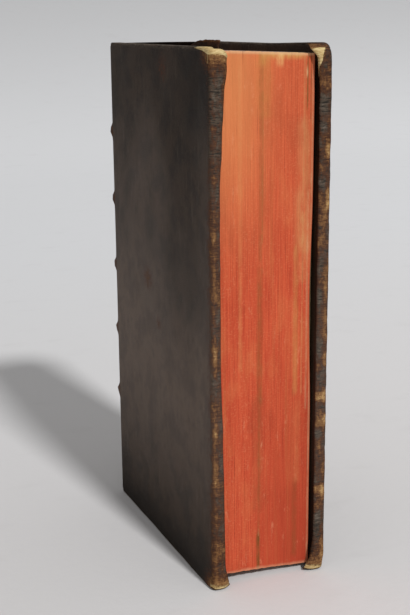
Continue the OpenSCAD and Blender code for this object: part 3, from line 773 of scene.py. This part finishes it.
bpy.ops.object.select_all(action="DESELECT")
bpy.ops.mesh.primitive_plane_add(size=1)
lifted = bpy.context.object
lifted.name = "lifted_leather"
lifted.scale = (LIFTED_HIGH, LIFTED_LONG, 1)
lifted.rotation_euler = (0, -math.pi / 2, 0)
lifted.location = (0, LIFTED_FROM + LIFTED_LONG / 2, LIFTED_HIGH / 2)
bpy.ops.object.transform_apply(location=True, rotation=True, scale=True)
cut_along(lifted, 1, 31)
cut_along(lifted, 2, 7)
sculpt(lifted, lifted_shape)
bpy.ops.object.modifier_add(type="SOLIDIFY")
lifted.modifiers["Solidify"].thickness = LIFTED_THICK
bpy.ops.object.modifier_apply(modifier="Solidify")
bpy.ops.object.shade_smooth()
paint(lifted, "edge", lambda p: 0.3)
paint(lifted, "wear", lambda p: 0.3 + 0.3 * fade((BOOK_HIGH + 1.3 * MM - p.z) / (0.4 * MM)))
# Painted shade at half strength over the whole strip
paint(lifted, "painted_shade", lambda p: 0.5)
paint(lifted, "bare", lambda p: 0)
lifted.data.materials.append(calf)
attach(lifted, "front_cover")

# The spine: the same skin drawn tight over the leaves' backs and the five raised cords, worked
# down beside each cord, and rolled over the endbands into caps. It is most rubbed on the bands
# and along the joints.
# The round of the back, the rounds of its two shoulders, and the angle where they meet
SPINE_ROUND, SHOULDER_ROUND = LEAVES_ROUND + 1.1 * MM, 2 * MM
SHOULDER_X = BOOK_HALF - SHOULDER_ROUND
SHOULDER_CENTRE_Y = BACK_CENTRE_Y + math.sqrt((SPINE_ROUND - SHOULDER_ROUND) ** 2 - SHOULDER_X**2)
SPREAD = math.asin(SHOULDER_X / (SPINE_ROUND - SHOULDER_ROUND))
# The caps: their ends, their round, and how much leather is rolled in over them
CAP_LOW, CAP_HIGH, CAP_ROUND, CAP_RUN = 0.2 * MM, BOOK_HIGH - 0.2 * MM, 1.2 * MM, 4 * MM
# The bands stand over the sewing cords
BAND_HEIGHTS = [sum(corner.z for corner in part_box(f"band_cord_{i}")) / 2 for i in range(1, 6)]
BAND_HALF, BAND_RISE = 3.2 * MM, 1.6 * MM
# Steps round a shoulder and round the back between the shoulders
SHOULDER_STEPS, BACK_STEPS = 8, 56


def facing(p):
    """Direction that the back faces at a place, as an angle from straight behind."""
    if abs(p.x) <= (SPINE_ROUND + NEAR) * math.sin(SPREAD):
        return math.atan2(p.x, p.y - BACK_CENTRE_Y)
    side = math.copysign(1, p.x)
    return math.atan2(p.x - side * SHOULDER_X, max(p.y - SHOULDER_CENTRE_Y, 0))


def on_round(p):
    """1 on the round of the back, fading to 0 over the shoulders."""
    return fade((abs(facing(p)) - SPREAD) / (math.pi / 2 - SPREAD))


def on_band(p):
    """Height of a raised band at a place, as a share."""
    off = min(abs(p.z - height) for height in BAND_HEIGHTS)
    return fade(off / BAND_HALF) ** 0.8


def spine_shape(p):
    """Bands, caps and small dents of the spine."""
    way = facing(p)
    out = Vector((math.sin(way), math.cos(way), 0))
    share = on_round(p)
    dent = 0.1 * unevenness(p, (0.12, 0.12, 0.12)) + 0.08 * unevenness(p, (0.5, 0.5, 0.5))
    moved = p + out * share * (BAND_RISE * on_band(p) + (dent - 0.1) * MM)
    for end, way_out in ((CAP_HIGH, 1), (CAP_LOW, -1)):
        over = (p.z - end) * way_out + CAP_ROUND
        if over > 0:
            turn = min(over / CAP_ROUND, math.pi / 2)
            inwards = CAP_ROUND * (1 - math.cos(turn)) + max(over - CAP_ROUND * math.pi / 2, 0)
            inwards *= share + (1 - share) * 0.3
            moved -= out * inwards
            moved.z = end + way_out * CAP_ROUND * (math.sin(turn) - 1)
    return moved


bpy.ops.object.select_all(action="DESELECT")
bpy.ops.mesh.primitive_plane_add(size=1)
spine = bpy.context.object
spine.name = "spine_calf"
spine_low, spine_high = CAP_LOW - CAP_RUN, CAP_HIGH + CAP_RUN
flat = SHOULDER_CENTRE_Y - SEAM_Y
spine.scale = (flat, spine_high - spine_low, 1)
spine.rotation_euler = (math.pi / 2, 0, math.pi / 2)
spine.location = (BOOK_HALF, (SHOULDER_CENTRE_Y + SEAM_Y) / 2, (spine_low + spine_high) / 2)
bpy.ops.object.transform_apply(location=True, rotation=True, scale=True)
cut_along(spine, 2, 255)
edit(spine, "EDGE", lambda part, middle: middle.y > SHOULDER_CENTRE_Y - NEAR)
for centre_x, centre_y, turn, count in (
    (SHOULDER_X, SHOULDER_CENTRE_Y, math.pi / 2 - SPREAD, SHOULDER_STEPS),
    (0, BACK_CENTRE_Y, 2 * SPREAD, BACK_STEPS),
    (-SHOULDER_X, SHOULDER_CENTRE_Y, math.pi / 2 - SPREAD, SHOULDER_STEPS),
):
    bpy.ops.mesh.spin(steps=count, angle=-turn, center=(centre_x, centre_y, 0), axis=(0, 0, 1))
bpy.ops.mesh.extrude_region_move(TRANSFORM_OT_translate={"value": (0, -flat, 0)})
leave_edit()
paint(spine, "edge", lambda p: 0.6 * on_round(p) * on_band(p) + fade(min(p.z, BOOK_HIGH - p.z) / (2 * MM)))
paint(spine, "wear", lambda p: (0.25 + 0.3 * on_round(p)) * on_band(p) ** 0.5 + 0.25 * (1 - on_round(p)))
paint(spine, "bare", lambda p: 0)
paint(spine, "painted_shade", lambda p: 0)
sculpt(spine, spine_shape)
bpy.ops.object.shade_smooth()
spine.data.materials.append(calf)
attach(spine, "book_block")
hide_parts("spine_leather")

# The floor and the wall behind are one pale, matt sweep of painted board, broadly rounded.
# Its colour is painted darker towards the top of the wall and to the left, as painted shade where the
# light falls off.
# Sizes in metres
FLOOR_WIDE, FLOOR_LONG, FLOOR_Y, WALL_HIGH, SWEEP_ROUND = 8, 5, 0.2, 3, 1.8
FLOOR_BACK = FLOOR_Y + FLOOR_LONG / 2
bpy.ops.object.select_all(action="DESELECT")
bpy.ops.mesh.primitive_plane_add(size=1)
floor = bpy.context.object
floor.name = "floor"
floor.scale = (FLOOR_WIDE, FLOOR_LONG, 1)
floor.location = (0, FLOOR_Y, 0)
bpy.ops.object.transform_apply(location=True, rotation=True, scale=True)
edit(floor, "EDGE", lambda part, middle: middle.y > FLOOR_BACK - 100 * MM)
bpy.ops.mesh.extrude_region_move(TRANSFORM_OT_translate={"value": (0, 0, WALL_HIGH)})
leave_edit()
edit(floor, "EDGE", lambda part, middle: middle.y > FLOOR_BACK - 100 * MM and middle.z < NEAR)
bpy.ops.mesh.bevel(offset=SWEEP_ROUND, segments=32)
leave_edit()
bpy.ops.object.shade_smooth()
sweep, tree, shader, place = new_finish("pale_painted_board", 0.9, 0.2)
axes = add_node(tree, "SeparateXYZ", {"Vector": place}).node.outputs
marks = grain(tree, place, (0.03, 0.06, 0.03), detail=5, rough=0.6)
brush_marks = grain(tree, place, (0.35, 0.35, 0.35), detail=5, rough=0.6)
colour = laid(tree, "#D2D0D0", "#D4D5D7", (axes["Y"], -100, 600))
# Painted shade: the colour darkens towards the top of the wall
colour = laid(tree, colour, "#9C9C9D", (axes["Y"], 850, 2200))
# The painted shade on the left fans out from a point on the floor in front of the book
across = add_node(tree, "Math", {0: axes["X"], 1: 147}, operation="ADD")
back = add_node(tree, "Math", {0: axes["Y"], 1: 353}, operation="ADD")
slant = add_node(tree, "Math", {0: across, 1: back}, operation="DIVIDE")
colour = laid(tree, colour, "#7C7C7C", (slant, 0.75, 0.1, 0, 0.11), (axes["Y"], -300, 0))
colour = laid(tree, colour, "#8F8A88", (marks, 0.55, 0.75, 0, 0.06))
dress(tree, shader, colour, brush_marks, 0.1 * MM)
floor.data.materials.append(sweep)

# A broad lamp stands before the fore edge, high up, and the room is evenly pale.
# Together they light a surface at about the level at which its colour is written.
LAMP_ROUND, LAMP_UP, LAMP_WIDE = math.radians(6), math.radians(42), math.radians(6)
bpy.ops.object.light_add(type="SUN", location=(0, -1, 1))
lamp = bpy.context.object
lamp.data.energy = 2.6
lamp.data.angle = LAMP_WIDE
lamp.rotation_euler = (math.pi / 2 - LAMP_UP, 0, LAMP_ROUND)
room = bpy.data.worlds.new("room")
bpy.context.scene.world = room
room.use_nodes = True
room.node_tree.nodes["Background"].inputs["Color"].default_value = linear("#D4D3D2")
room.node_tree.nodes["Background"].inputs["Strength"].default_value = 0.7
bpy.context.scene.view_settings.view_transform = "Standard"

# The camera stands to the left of the fore edge and looks down a little,
# so that the front cover and the fore edge are turned to it.
CAMERA_PLACE, LENS, FILM_WIDE = (-0.14977, -0.35043, 0.17751), 66.44, 36
CAMERA_YAW, CAMERA_DOWN, CAMERA_ROLL = math.radians(-22.9), math.radians(14.23), math.radians(-0.5)
bpy.ops.object.camera_add(location=CAMERA_PLACE)
camera = bpy.context.object
turned = Matrix.Rotation(CAMERA_YAW, 3, "Z") @ Matrix.Rotation(math.pi / 2 - CAMERA_DOWN, 3, "X")
camera.rotation_euler = (turned @ Matrix.Rotation(CAMERA_ROLL, 3, "Z")).to_euler()
camera.data.lens = LENS
camera.data.sensor_width = FILM_WIDE
bpy.context.scene.camera = camera
